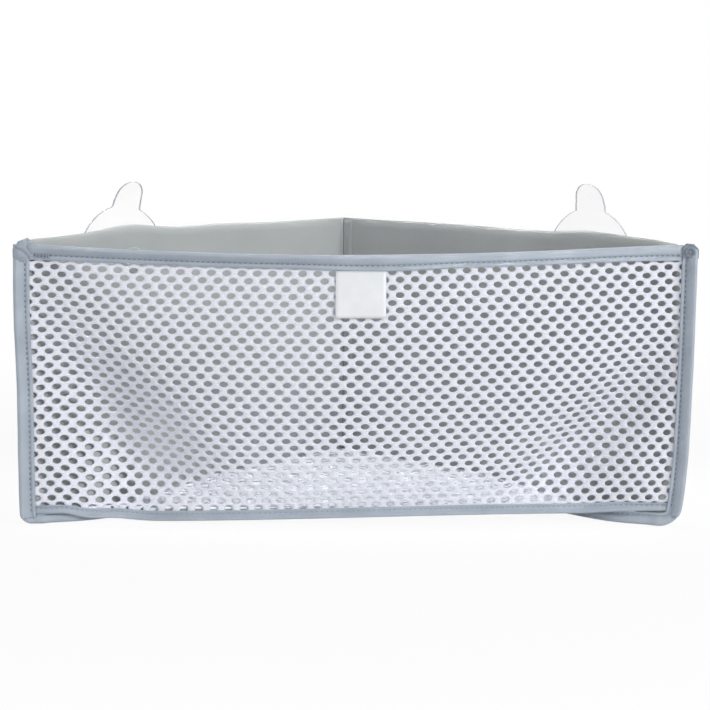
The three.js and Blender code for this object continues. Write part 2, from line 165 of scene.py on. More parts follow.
def addPiece(name, points, faces, material, slot, nodes=(), body="basket"):
    mesh = bpy.data.meshes.new(name)
    mesh.from_pydata((np.asarray(points, float) * mm).tolist(), [], [list(map(int, f)) for f in faces])
    mesh.update()
    for polygon in mesh.polygons:
        polygon.use_smooth = True
    mesh.materials.append(material)
    piece = bpy.data.objects.new(name, mesh)
    sceneCollection.objects.link(piece)
    outward = bmesh.new()
    outward.from_mesh(mesh)
    bmesh.ops.recalc_face_normals(outward, faces=outward.faces)
    outward.to_mesh(mesh)
    outward.free()
    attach(piece, body)
    if nodes:
        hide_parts(*nodes)
    return piece


def loft(loops, closedRun=False):
    # joins loops of equal length, each running round the piece, and caps an open run
    loops = np.asarray(loops)
    runs, count = loops.shape[:2]
    index = np.arange(runs * count).reshape(runs, count)
    faces = []
    for r in range(runs if closedRun else runs - 1):
        a, b = index[r], index[(r + 1) % runs]
        faces += [(a[i], a[(i + 1) % count], b[(i + 1) % count], b[i]) for i in range(count)]
    if not closedRun:
        faces += [tuple(index[0][::-1]), tuple(index[-1])]
    return loops.reshape(-1, 3), faces


# the slack front: belly, side folds, a twisting top edge and the wandering lower seam

frontCloth = dict(
    topDrop=4, topSag=5.4, rightRise=1.5, riseFrom=0.25,  # top edge under the bag's corners
    topSeam=topHigh[2] - topLow[2] - 5.2,  # the top tape's depth: its box without the solid's sag
    topLean=(-4.8, 6.4), leanSpan=(-45, 75), leanAtSeams=0.4,  # its lean on the left and the right
    belly=10.6, bellyAt=1.15, topBow=6, flatBy=0.625, gatherDepth=0.5, gatherLength=9.0,
    lowerSeam=6, lowerBow=2, lowerTilt=5.0, tiltEnds=(-40, -10), tiltHeight=30,
    drawnBack=((-157, 9, 27), (128, 8, 58), (-110, -3, 40)),  # where along the front, how far, how wide
    lifted=((-210, 3.4, 14), (-190, 3.6, 12), (-160, 2.0, 18)),
    rises=((-150, 180, 7.0), (150, 175, 1.0)),  # from, to, how much
    startLift=0.4, leastLift=0.3, sightSlope=0.228,  # what lies further back is lower along the line of sight
    leanHold=10, seamHold=8, foldHold=6,  # how late these fade towards the side seams
)
sideFold = {
    -1: dict(depth=36, width=43, start=125, fromCentre=120),
    1: dict(depth=29, width=30, start=112, fromCentre=120),
}
# the lower corners stand forward of the front and lean in, the right one more
lowerCorner = {
    -1: dict(forward=10, leanIn=3.0, leanHeight=80, round=8),
    1: dict(forward=6.5, leanIn=8.8, leanHeight=45, round=13),
}
cornerReach = dict(front=45, wall=(60, 180), height=105, leanAlong=35, footTurn=5, arcEnd=0.95)
seamTurn = 4.5  # how far a side seam's outer edge stands forward, halfway between front and wall


def bySide(x, values, key):
    return np.where(np.asarray(x) < 0, values[-1][key], values[1][key])


def middleShare(x, hold=2):
    # 1 in the middle of the front, 0 at its side seams, and falling later the higher hold is
    return 1 - np.clip(x / seamX, -1, 1) ** hold


def frontForward(x, z):
    r = cornerReach
    inside = np.maximum(seamX - np.abs(x), 0)
    return bySide(x, lowerCorner, "forward") * bump(inside, 0, r["front"]) * (1 - ramp(z, 0, r["height"]))


def frontLean(x, z):
    inside = np.maximum(seamX - np.abs(x), 0)
    fade = np.exp(-z / bySide(x, lowerCorner, "leanHeight") - inside / cornerReach["leanAlong"])
    return -np.sign(x) * bySide(x, lowerCorner, "leanIn") * fade


def seamForward(x):
    return seamTurn * np.clip((np.abs(x) - seamX) / bag["sideSeam"], 0, 1)


def cornerArc(side, x):
    # how far the rounded foot of the side seam has risen at x
    c = lowerCorner[side]
    past = np.abs(x) - (bag["halfWidth"] - c["leanIn"] - c["round"])
    past = np.clip(past, 0, cornerReach["arcEnd"] * c["round"])
    return c["round"] - np.sqrt(c["round"] ** 2 - past ** 2)


def topEdge(x):
    c = frontCloth
    rise = c["rightRise"] * ramp(x / seamX, c["riseFrom"], 1)
    return bag["height"] - c["topDrop"] - c["topSag"] * middleShare(x) + rise


def topLean(x):
    # how far the top fold leans back over the tape's own depth
    c = frontCloth
    held = lerp(c["leanAtSeams"], 1, middleShare(x, c["leanHold"]))
    return lerp(*c["topLean"], ramp(x, *c["leanSpan"])) * held


def topDepth(x):
    # how far down the leaning tape reaches
    return np.sqrt(frontCloth["topSeam"] ** 2 - topLean(x) ** 2)


def lowerEdge(x):
    # how far back and how high the lower seam lies
    c = frontCloth
    back = -c["lowerBow"] * middleShare(x)
    for at, depth, width in c["drawnBack"]:
        back = back + depth * bump(x, at, width)
    back = back * middleShare(x, c["seamHold"]) - frontForward(x, 0)
    lift = c["startLift"]
    for start, end, height in c["rises"]:
        lift = lift + height * ramp(x, start, end)
    for at, height, width in c["lifted"]:
        lift = lift + height * bump(x, at, width)
    return frontY + back, np.maximum(lift - c["sightSlope"] * back, c["leastLift"])


def lowerTilt(x):
    # how far the lower tape leans back over its depth, upright where it is sewn into the side seams
    return frontCloth["lowerTilt"] * (1 - ramp(np.abs(x) - seamX, *frontCloth["tiltEnds"]))


def frontDepth(x, z):
    c = frontCloth
    seamBack, seamLift = lowerEdge(x)
    low = seamLift + c["lowerSeam"]
    high = topEdge(x) - topDepth(x)
    q = np.clip((z - low) / (high - low), 0, 1)  # how far up between the two tapes
    bulge = c["belly"] * np.sin(np.pi * q ** c["bellyAt"]) + c["topBow"] * ramp(q, 0, 1)
    upFold = np.maximum(0, z - low) / (bySide(x, sideFold, "start") - low)
    foldX = lerp(bySide(x, sideFold, "fromCentre"), seamX, upFold)
    growth = 6.75 * q * (1 - q) ** 2  # rises to 1 a third of the way up
    fold = bySide(x, sideFold, "depth") * growth * bump(np.abs(x), foldX, bySide(x, sideFold, "width"))
    gathers = c["gatherDepth"] * np.sin(x / c["gatherLength"]) * q * (1 - q)
    lean = topLean(x) * np.clip((z - high) / topDepth(x), 0, 1)
    upTape = np.clip((z - seamLift) / c["lowerSeam"], 0, 1) - 0.5
    lean = lean + lowerTilt(x) * upTape * (1 - ramp(z - low, 0, c["tiltHeight"]))
    flat = lerp(seamBack + frontForward(x, 0), frontY, ramp(q, 0, c["flatBy"])) - frontForward(x, z)
    slack = fold * middleShare(x, c["foldHold"]) - bulge * middleShare(x)
    return flat + slack + gathers + lean - seamForward(x)


# the walls: soft panels, drawn towards the front at the lower corners, with the rear corner to one side

wallCloth = dict(
    pinch=19, pinchReach=24, pinchPower=1.5, pinchFade=(70, 160), pinchHeight=90,
    swell=3, swellTop=stemZ - 18, lean=-9, leanFrom=140, hemRoll=1.1, hemHeight=6, hemEnd=25,
    ripple=0.5, rippleAlong=23, rippleUp=31, rippleEnd=40, stillRadius=45,  # no ripple at the stem
    bow={-1: 0, 1: -6}, bowAt=190, bowWidth=50, bowRise=(60, 140),
    bend=3.7, bendReach=8, bendFoot=(15, 40), bendTop=(168, 180),
)
# along each wall's top: where it rises, how much, how wide
wallRise = {
    -1: ((stemAlong, 4.5, 30), (155, 1.6, 42), (0, -1.0, 25)),
    1: ((stemAlong - 8, 2.4, 27), (190, 1.0, 50), (0, -2.0, 14)),
}


def wallTop(side, s):
    return bag["height"] + sum(rise * bump(s, at, width) for at, rise, width in wallRise[side])


def wallBend(z):
    # how far outside its seam line a wall turns back, except at its foot and its top
    c = wallCloth
    return c["bend"] * ramp(z, *c["bendFoot"]) * (1 - ramp(z, *c["bendTop"]))


def wallPoint(side, s, z, across=0.0):
    # side is -1 left, 1 right; s runs from the bend to the rear corner; across is out from the wall's middle
    c = wallCloth
    s, z, across = asArrays(s, z, across)
    overFloor, toCorner = z - floorTop, wallLength - s
    swell = np.sin(np.pi * np.clip(s / wallLength, 0, 1))
    swell = swell * np.sin(np.pi * np.clip(overFloor / (c["swellTop"] - floorTop), 0, 1))
    drawnIn = 1 - np.exp(-(np.maximum(s, 0) / c["pinchReach"]) ** c["pinchPower"])
    drawnIn = drawnIn * (1 - ramp(s, *c["pinchFade"]))
    drawnIn = drawnIn * (1 - ramp(overFloor, 0, c["pinchHeight"] - floorTop))
    farFromStem = 1 - np.exp(-((s - stemAlong) ** 2 + (z - stemZ) ** 2) / c["stillRadius"] ** 2)
    ripple = np.sin(s / c["rippleAlong"] + side) * np.sin(z / c["rippleUp"]) * farFromStem
    ripple = ripple * ramp(s, 0, c["rippleEnd"]) * ramp(toCorner, 0, c["rippleEnd"])
    hem = np.clip((z - wallTop(side, s)) / c["hemHeight"] + 1, 0, 1) ** 2 * ramp(toCorner, 0, c["hemEnd"])
    bow = c["bow"][side] * bump(s, c["bowAt"], c["bowWidth"]) * ramp(z, *c["bowRise"])
    out = across + c["swell"] * swell - c["pinch"] * drawnIn + c["ripple"] * ripple + c["hemRoll"] * hem + bow
    x = -seamX + (s - out) / root2 - wallBend(z) * bump(s, 0, c["bendReach"])
    y = flangeY + (s + out) / root2
    x = -side * x + c["lean"] * ramp(s, c["leanFrom"], wallLength)
    r, corner = cornerReach, lowerCorner[side]
    x = x - side * corner["leanIn"] * np.exp(-z / corner["leanHeight"] - np.maximum(s, 0) / r["leanAlong"])
    y = y - corner["forward"] * (1 - ramp(s, *r["wall"])) * (1 - ramp(z, 0, r["height"]))
    return xyz(x, y, z)


def footPoint(side, s, z, across):
    # along the wall's foot and, before its bend, round the lower corner and up into the side seam
    s, z, across = asArrays(s, z, across)
    turn = math.pi / 4 * ramp(s, -cornerReach["footTurn"], cornerReach["footTurn"])
    radius = lowerCorner[side]["round"]
    straight = bag["sideSeam"] + bag["gap"] - radius
    past = np.maximum(-s, 0)
    angle = np.clip((past - straight) / radius, 0, math.pi / 2)
    up = np.where(s < 0, radius - (radius - z) * np.cos(angle), z)
    out = np.minimum(past, straight) + (radius - z) * np.sin(angle)
    forward = seamTurn * (1 - z / bag["sideSeam"]) * np.sin(angle)
    shift = xyz(side * (out + across * np.sin(turn)), across * np.cos(turn) - forward, 0)
    return wallPoint(side, np.maximum(s, 0), up) + shift


print("shapes set out")

# materials

waveBand = 0.314  # width of one band of Blender's wave texture at scale 1


def twoTone(tree, place, spacing, shade, light, detail=2.0):
    # a colour that drifts between shade and light in patches of this spacing, and the pattern alone
    patches = addNode(tree, "TexNoise", {"Vector": place, "Scale": 1 / spacing, "Detail": detail})
    tone = addNode(tree, "Mix", {
        0: patches.outputs["Fac"], 6: toLinear(shade), 7: toLinear(light)}, data_type="RGBA")
    return tone.outputs[2], patches.outputs["Fac"]


def dressSurface(tree, height, strength, depth, finish):
    # the end of a material: a relief from the pattern's height, under the material's own finish
    relief = addNode(tree, "Bump", {"Height": height, "Strength": strength, "Distance": depth})
    skin = addNode(tree, "BsdfPrincipled", {**finish, "Normal": relief.outputs[0]})
    addNode(tree, "OutputMaterial", {"Surface": skin.outputs[0]})


def polyesterMeshKnit():
    # warp-knitted polyester: matt, slightly blue white, with fine loops and soft yarn shadows
    material, tree, place = newMaterial("polyesterMeshKnit")
    ribSpacing = 1.3 * mm  # real wales are 0.7 mm, drawn coarser so that they show
    loopSpacing = 1.5 * mm  # real loops are 0.8 mm, drawn coarser so that they show
    ribs = addNode(tree, "TexWave", {
        "Vector": place, "Scale": waveBand / ribSpacing, "Distortion": 9.0, "Detail": 3.0,
        "Detail Scale": 2.0}, bands_direction="Z")
    loops = addNode(tree, "TexNoise", {
        "Vector": place, "Scale": 1 / loopSpacing, "Detail": 3.0, "Roughness": 0.65})
    yarns = addNode(tree, "Mix", {
        0: 0.75, 2: ribs.outputs["Fac"], 3: loops.outputs["Fac"]}, data_type="FLOAT").outputs[0]
    share = addNode(tree, "MapRange", {"Value": yarns, "From Min": 0.25, "From Max": 0.75})
    mottle = addNode(tree, "Mix", {
        0: share.outputs[0], 6: toLinear("#cfd2de"), 7: toLinear("#ebedf4")}, data_type="RGBA")
    dressSurface(tree, yarns, 0.5, 0.35 * mm, {
        "Base Color": mottle.outputs[2], "Roughness": 0.8, "Sheen Weight": 0.15, "Sheen Roughness": 0.5})
    return material


def neopreneJersey():
    # jersey laminated to foam: a soft, even, warm grey with a short nap and faint pressing marks
    material, tree, place = newMaterial("neopreneJersey")
    loopSpacing = 1.4 * mm  # real loops are 0.5 mm, drawn coarser so that they show
    markSpacing = 45 * mm
    nap = addNode(tree, "TexNoise", {"Vector": place, "Scale": 1 / loopSpacing, "Detail": 4.0})
    tone = twoTone(tree, place, markSpacing, "#a7abab", "#b7bbba")[0]
    speckle = addNode(tree, "Mix", {
        0: 0.12, 6: tone, 7: nap.outputs["Color"]}, data_type="RGBA", blend_type="SOFT_LIGHT")
    dressSurface(tree, nap.outputs["Fac"], 0.25, 0.2 * mm, {
        "Base Color": speckle.outputs[2], "Roughness": 0.88, "Sheen Weight": 0.2, "Sheen Roughness": 0.4})
    return material


def polyesterBindingTape(name, shade, light):
    # woven polyester tape with a satin face: blue grey; its darker copies carry painted shade on the
    # turned-over ends
    material, tree, place = newMaterial(name)
    threadSpacing = 1.0 * mm  # real threads are 0.3 mm, drawn coarser so that they show
    creaseSpacing = 18 * mm
    weave = addNode(tree, "TexWave", {
        "Vector": place, "Scale": waveBand / threadSpacing, "Distortion": 1.0}, bands_direction="DIAGONAL")
    # the colour drifts at random and follows the crease relief, so the hollows carry painted shade and the
    # ridges painted light
    tone, creases = twoTone(tree, place, creaseSpacing, shade, light, 3.0)
    height = addNode(tree, "Math", {0: weave.outputs["Fac"], 1: creases}, operation="ADD")
    dressSurface(tree, height.outputs[0], 0.25, 0.25 * mm, {
        "Base Color": tone, "Roughness": 0.5, "Sheen Weight": 0.3, "Sheen Roughness": 0.35})
    return material


def spunSewingThread(name, shade, light):
    # spun polyester thread: matt and twisted, drawn darker than the tape that it sinks into as painted shade
    # of the needle holes
    material, tree, place = newMaterial(name)
    twistSpacing = 0.8 * mm
    tone = twoTone(tree, place, twistSpacing, shade, light)[0]
    skin = addNode(tree, "BsdfPrincipled", {"Base Color": tone, "Roughness": 0.7})
    addNode(tree, "OutputMaterial", {"Surface": skin.outputs[0]})
    return material


def satinLabel():
    # woven satin label: pale, smooth, with fine cross threads
    material, tree, place = newMaterial("satinLabel")
    threadSpacing = 0.9 * mm  # real threads are 0.2 mm, drawn coarser so that they show
    cloudSpacing = 9 * mm
    weave = addNode(tree, "TexWave", {
        "Vector": place, "Scale": waveBand / threadSpacing, "Distortion": 0.6}, bands_direction="Z")
    tone = twoTone(tree, place, cloudSpacing, "#d9dcdf", "#e6e8ea")[0]
    dressSurface(tree, weave.outputs["Fac"], 0.15, 0.1 * mm, {
        "Base Color": tone, "Roughness": 0.45, "Sheen Weight": 0.2})
    return material


def clearPvc(name, colour, clearness):
    # moulded soft PVC: water clear and glossy, seen mostly by its edges, where the light in the sheet greys
    material, tree, place = newMaterial(name)
    flowSpacing = 14 * mm
    flow = addNode(tree, "TexNoise", {"Vector": place, "Scale": 1 / flowSpacing}).outputs["Fac"]
    gloss = addNode(tree, "MapRange", {"Value": flow, "To Min": 0.1, "To Max": 0.2})
    dressSurface(tree, flow, 0.06, 0.4 * mm, {
        "Base Color": toLinear(colour), "Roughness": gloss.outputs[0], "IOR": 1.1,
        "Transmission Weight": clearness})
    return material


def mouldedNylon():
    # moulded nylon eyelets: a little darker than the wall, slightly glossy, with a fine spark-eroded grain
    material, tree, place = newMaterial("mouldedNylon")
    grainSpacing = 0.6 * mm  # real grain is 0.1 mm, drawn coarser so that it shows
    tone, grain = twoTone(tree, place, grainSpacing, "#999e9f", "#a6aaab")
    dressSurface(tree, grain, 0.2, 0.1 * mm, {"Base Color": tone, "Roughness": 0.42, "IOR": 1.53})
    return material


knitMaterial = polyesterMeshKnit()
wallMaterial = neopreneJersey()
tapeMaterial = polyesterBindingTape("polyesterBindingTape", "#8f9aa7", "#b0b9c3")
# darker copies of the tape paint the shade on the turned-over ends: less on the left, more on the right
paintedHalfShadeTapeMaterial = polyesterBindingTape("polyesterBindingTapePaintedHalfShade", "#828c98", "#a1aab4")
paintedDeepShadeTapeMaterial = polyesterBindingTape("polyesterBindingTapePaintedDeepShade", "#6b7581", "#8c96a2")
# the darker thread paints the shade of the needle holes and of the rear corner's crease; the pale thread
# paints it only faintly
paintedShadeThreadMaterial = spunSewingThread("spunSewingThread", "#68717c", "#838d97")
paleThreadMaterial = spunSewingThread("spunSewingThreadPale", "#838e9a", "#a3adb7")
labelMaterial = satinLabel()
pvcMaterial = clearPvc("clearPvc", "#fdfdfd", 0.92)
pvcEdgeMaterial = clearPvc("clearPvcEdge", "#b9b5c2", 0.3)
nylonMaterial = mouldedNylon()
print("materials ready")

# knitted mesh: rows of oval holes, every other row half a pitch along, with rounded edges

knit = dict(
    pitch=9.86, row=4.83, hole=(5.4, 3.7), thickness=1.1, sides=12,
    edge=(0.75, 0.45), edgeThickness=0.85,  # where the rounding starts, and its share of the thickness
)


def flatKnit(width, height):
    # a flat piece of the knit about the origin; the third coordinate is the height over its middle
    across = math.ceil(width / knit["pitch"] / 2) + 1
    up = math.ceil(height / knit["row"] / 2) + 1
    step = np.array([knit["pitch"] / 4, knit["row"] / 2])
    ring = [(2, 0), (2, 1), (1, 1), (0, 1), (-1, 1), (-2, 1)]  # half of the cell round a hole, in steps
    ring += [(-a, -b) for a, b in ring]
    angles = np.arange(knit["sides"]) * 2 * np.pi / knit["sides"]
    oval = np.stack([np.cos(angles), np.sin(angles)], -1) * np.array(knit["hole"]) / 2
    brim = oval * (1 + np.array(knit["edge"]) * 2 / np.array(knit["hole"]))
    half = knit["thickness"] / 2
    edge = half * knit["edgeThickness"]
    points, faces, shared = [], [], {}

    def corner(ix, iy):
        if (ix, iy) not in shared:
            shared[ix, iy] = len(points)
            flat = step * (ix, iy)
            points.extend([(*flat, half), (*flat, -half)])
        return shared[ix, iy]

    for j in range(-up, up + 1):
        for i in range(-across, across + 1):
            ix, iy = 4 * i + 2 * (j % 2), 2 * j
            outer = [corner(ix + a, iy + b) for a, b in ring]
            centre = step * (ix, iy)
            first = len(points)
            for rim, inner in zip(centre + brim, centre + oval):
                points.extend([(*rim, edge), (*rim, -edge), (*inner, 0.0)])
            for k in range(knit["sides"]):
                n = (k + 1) % knit["sides"]
                a, b = first + 3 * k, first + 3 * n
                faces += [(outer[k], outer[n], b, a), (a, b, b + 2, a + 2), (a + 2, b + 2, b + 1, a + 1),
                          (a + 1, b + 1, outer[n] + 1, outer[k] + 1)]
    return np.array(points, float), faces


def cutKnit(points, faces, cuts):
    # trims the flat knit along straight lines, each a point and the direction that falls away
    mesh = bpy.data.meshes.new("cut")
    mesh.from_pydata(points.tolist(), [], faces)
    work = bmesh.new()
    work.from_mesh(mesh)
    for at, away in cuts:
        cut = bmesh.ops.bisect_plane(work, geom=work.verts[:] + work.edges[:] + work.faces[:],
                                     plane_co=(*at, 0), plane_no=(*away, 0), clear_outer=True)
        ends = [g for g in cut["geom_cut"] if isinstance(g, bmesh.types.BMEdge)]
        bmesh.ops.holes_fill(work, edges=ends, sides=0)
    work.verts.ensure_lookup_table()
    work.verts.index_update()
    points = np.array([v.co for v in work.verts])
    faces = [[v.index for v in f.verts] for f in work.faces]
    work.free()
    bpy.data.meshes.remove(mesh)
    return points, faces


def layOnSurface(points, place, step=0.5):
    # moves flat points onto place(u, v), with their height along the surface's normal
    u, v, lift = points.T
    du = place(u + step, v) - place(u - step, v)
    dv = place(u, v + step) - place(u, v - step)
    normal = np.cross(du, dv)
    normal /= np.linalg.norm(normal, axis=1)[:, None]
    return place(u, v) + normal * lift[:, None]


frontKnitSize = dict(halfWidth=bag["halfWidth"] - 3, height=176, spare=(30, 20), insideFold=1.2)
frontSlack = dict(
    start=(2.15, 0.62), scale=(200, 80), shear=0.03, turn=0.0087, crowd=-3.4,
    spread=3.2, spreadFade=1.8, spreadWave=2.4, sag=2.4, sagWave=1.5,
    droop=1.3, droopUp=(0.4, 0.9), droopAcross=(-0.3, 0.3),  # on the left, near the top
)


def pulledAbout(points):
    # the rows run askew, spread over the belly, crowd along the top and the foot, and sag in the middle
    c = frontSlack
    u, v = points[:, 0] + c["start"][0], points[:, 1] + c["start"][1]
    x, y = u / c["scale"][0], v / c["scale"][1]
    spread = c["spread"] * (1 - c["spreadFade"] * y ** 2) * np.sin(c["spreadWave"] * x)
    drawn = points.copy()
    drawn[:, 0] = u + c["shear"] * v + c["crowd"] * x ** 2 + spread
    drawn[:, 1] = v + c["turn"] * u - c["sag"] * np.cos(c["sagWave"] * x) ** 2 * (1 - y ** 2)
    drawn[:, 1] -= c["droop"] * ramp(y, *c["droopUp"]) * (1 - ramp(x, *c["droopAcross"]))
    return drawn


def frontPlace(u, v):
    c = frontKnitSize
    z = lerp(lowerEdge(u)[1] + c["insideFold"], topEdge(u) - c["insideFold"], v / c["height"] + 0.5)
    return xyz(u + frontLean(u, z), frontDepth(u, z), z)


def makeFrontKnit():
    c = frontKnitSize
    w, h = c["halfWidth"], c["height"] / 2
    points, faces = flatKnit(2 * w + c["spare"][0], 2 * h + c["spare"][1])
    sides = [((-w, 0), (-1, 0)), ((w, 0), (1, 0)), ((0, -h), (0, -1)), ((0, h), (0, 1))]
    points, faces = cutKnit(pulledAbout(points), faces, sides)
    points = layOnSurface(points, frontPlace)
    return addPiece("frontKnit", points, faces, knitMaterial, "mesh_knit", ["front_mesh"])


floorKnitSize = dict(
    height=floorTop - 0.6, sag=1.2, ripple=0.7, rippleAcross=27, rippleBack=33, cornerCut=22, offCorner=1,
    overSeam=3.2, behindSeam=0.5, frontReach=0.2, footSteps=200, diagonal=0.7071,
)


def floorPlace(u, v):
    # straight plan lines follow the front's wandering seam and the walls' feet
    c = floorKnitSize
    straightBack = frontY + seamX - np.abs(u)
    s = np.linspace(0, wallLength, c["footSteps"])
    x = np.clip(u, -seamX, seamX)
    feet = []
    for side in (-1, 1):
        foot = wallPoint(side, s, c["height"], -bag["wall"] / 2)
        order = np.argsort(foot[:, 0])
        feet.append(np.interp(x, foot[order, 0], foot[order, 1]))
    back = np.minimum(*feet)
    seamY, seamLift = lowerEdge(u)
    t = (v - frontY) / np.maximum(straightBack - frontY, 1)
    ripple = c["ripple"] * np.sin(u / c["rippleAcross"]) * np.sin(v / c["rippleBack"])
    z = c["height"] - c["sag"] * 4 * np.clip(t * (1 - t), 0, 0.25) + ripple * np.clip(1 - t, 0, 1)
    z = lerp(np.minimum(seamLift + c["overSeam"], c["height"]), z, ramp(t, 0, c["frontReach"]))
    return xyz(u, lerp(seamY + c["behindSeam"], back, t), z)


def makeFloorKnit():
    points, faces = flatKnit(2 * seamX, seamX)
    points[:, 1] += frontY + seamX / 2
    c = floorKnitSize
    end, diagonal = seamX - c["cornerCut"], c["diagonal"]
    corner = (0, frontY + seamX - c["offCorner"])
    sides = [((0, frontY), (0, -1)), ((-end, 0), (-1, 0)), ((end, 0), (1, 0))]
    sides += [(corner, (-diagonal, diagonal)), (corner, (diagonal, diagonal))]
    points, faces = cutKnit(points, faces, sides)
    points = layOnSurface(points, floorPlace)
    return addPiece("floorKnit", points, faces, knitMaterial, "mesh_knit", ["floor_mesh"])


frontKnit = makeFrontKnit()
floorKnit = makeFloorKnit()
print("knit laid", len(frontKnit.data.polygons), len(floorKnit.data.polygons))

# walls

wallPanel = dict(
    stations=76, levels=26, hemLevels=9, hemSteps=9, hemDepth=8, foot=1.2,
    flangeIn=8, flangeTop={-1: 183.5, 1: 180}, mitre=0.41, mitreTo=0.02, overlap=0.5, overlapFrom=0.9,
)


def makeWall(side, name):
    c = wallPanel
    half = bag["wall"] / 2
    turn = np.linspace(0, np.pi, c["hemSteps"])[1:-1]
    loops = []
    for t in (-1, *np.linspace(0, 1, c["stations"])):
        run = max(t, 0) * wallLength
        top = wallTop(side, run) if t >= 0 else c["flangeTop"][side]
        up = runThrough(c["foot"], top - c["hemDepth"], top - half, c["levels"], c["hemLevels"])
        across = np.concatenate([np.full(len(up), -half), -half * np.cos(turn), np.full(len(up), half)])
        z = np.concatenate([up, top - half + half * np.sin(turn), up[::-1]])
        along = run + (across + c["overlap"]) * ramp(t, c["overlapFrom"], 1)
        along = along + across * c["mitre"] * (1 - ramp(t, 0, c["mitreTo"]))
        loop = wallPoint(side, along, z, across)
        if t < 0:  # the edge that is sewn into the side seam
            into = across - seamForward(seamX + c["flangeIn"])
            loop = wallPoint(side, 0, z) + xyz(side * (c["flangeIn"] - wallBend(z)), into, 0)
            loop[:, 2] = np.maximum(loop[:, 2], cornerArc(side, loop[:, 0]) + c["foot"])
        loops.append(loop)
    return addPiece(f"{name}Wall", *loft(loops), wallMaterial, "padded_wall", [f"{name}_wall"])


leftWall = makeWall(-1, "left")
rightWall = makeWall(1, "right")
print("walls made")

# folded tape over the seams, with its row of stitches

tapeFold = dict(
    puff=1.1, skew=0.6, roundest=2.2, groove=0.8, grooveWidth=0.85, flare=0.4, flareWidth=2, lip=0.25,
    beforeStitch=1.3, besideStitch=1, pastStitch=1.2, beforeLip=(0.4, 0.3), insideFold=0.2, insideEnd=0.6,
)
stitch = dict(pitch=3.4, length=1.8, radius=0.36, rise=0.3, dive=0.5, taper=0.35, proud=0.05, slopeStep=0.5)


def tapeSection(front, back, stitchAt, frontLip, backLip, puff=1.0, groove=tapeFold["groove"]):
    # closed outline of the folded tape: across the cloth, and in from the fold
    t = tapeFold
    middle, half = (front + back) / 2, (back - front) / 2
    fold = min(half, t["roundest"])
    outline = []
    for lip in (frontLip, backLip):
        b = np.unique(np.concatenate([
            fold * (1 - np.cos(np.linspace(0, np.pi / 2, 6))),
            np.linspace(fold, stitchAt - t["beforeStitch"], 6),
            stitchAt + np.linspace(-t["besideStitch"], t["besideStitch"], 7),
            np.linspace(min(stitchAt + t["pastStitch"], lip - t["beforeLip"][0]), lip - t["beforeLip"][1], 3),
            [lip],
        ]))
        b = b[b <= lip]
        out = half * np.sqrt(1 - (1 - np.clip(b / fold, 0, 1)) ** 2)
        out = out + puff * t["puff"] * np.sin(np.pi * np.clip(b / stitchAt, 0, 1) ** t["skew"])
        out = out - groove * bump(b, stitchAt, t["grooveWidth"])
        out = out + t["flare"] * ramp(b - stitchAt, 0, t["flareWidth"])
        out[-1] -= t["lip"]
        outline.append((b, out, [lip, stitchAt, fold + t["insideFold"], bag["tape"]]))
    (frontB, frontOut, frontIn), (backB, backOut, backIn) = outline
    inside = (half - bag["tape"]) * np.array([1, 1, 1, t["insideEnd"]])
    a = np.concatenate([-frontOut[::-1], backOut[1:], inside, -inside[::-1]])
    deep = np.concatenate([frontB[::-1], backB[1:], backIn, frontIn[::-1]])
    return middle + a, deep


def addTape(name, node, section, stations, place):
    loops = [place(station, *section) for station in stations]
    return addPiece(name, *loft(loops), tapeMaterial, "binding_tape", [node])


def addThreads(name, at, ahead, outward, length, material):
    # short threads lying on the tape, each with its ends drawn into the cloth
    c = stitch
    ahead = ahead / np.linalg.norm(ahead, axis=1)[:, None]
    up = np.array(outward) / np.linalg.norm(outward)
    aside = np.cross(ahead, up)
    points, faces = [], []
    turn = np.arange(6) * np.pi / 3
    for k in range(len(at)):
        loops = []
        for t in (-1, -0.75, -0.3, 0.3, 0.75, 1):
            centre = at[k] + ahead[k] * t * length / 2 + up * (c["rise"] - c["dive"] * t * t)
            r = c["radius"] * (1 - c["taper"] * t * t)
            loops.append(centre + r * (np.cos(turn)[:, None] * aside[k] + np.sin(turn)[:, None] * up))
        threadPoints, threadFaces = loft(loops)
        faces += [tuple(np.array(face) + len(points)) for face in threadFaces]
        points.extend(threadPoints)
    return addPiece(name, points, faces, material, "binding_tape")


def addStitches(name, line, outward, material):
    # a row of stitches along a line on the tape
    along = np.concatenate([[0], np.cumsum(np.linalg.norm(np.diff(line, axis=0), axis=1))])
    places = np.arange(stitch["pitch"] / 2, along[-1], stitch["pitch"])

    def sample(shift):
        return np.stack([np.interp(places + shift, along, line[:, i]) for i in range(3)], -1)

    ahead = sample(stitch["slopeStep"]) - sample(-stitch["slopeStep"])
    return addThreads(name, sample(0), ahead, outward, stitch["length"], material)


def stitchFloor(half, groove=tapeFold["groove"]):
    return half - groove + stitch["proud"]


frontTape = dict(
    half=bag["knit"] / 2 + bag["gap"] + bag["tape"], end=seamX + 4.5, endThin=0.5, thinSpan=(-2, 2),
    stitchFromLip=3.4, puff=1.5, stations=120,
)
barTack = dict(start=-206, count=9, step=1.1, drop=6.2, length=5.0, lean=0.16, proud=0.25)


def endThin(x):
    # the ends of the front's tapes lie flat under the side tapes
    return 1 - frontTape["endThin"] * ramp(np.abs(x) - seamX, *frontTape["thinSpan"])


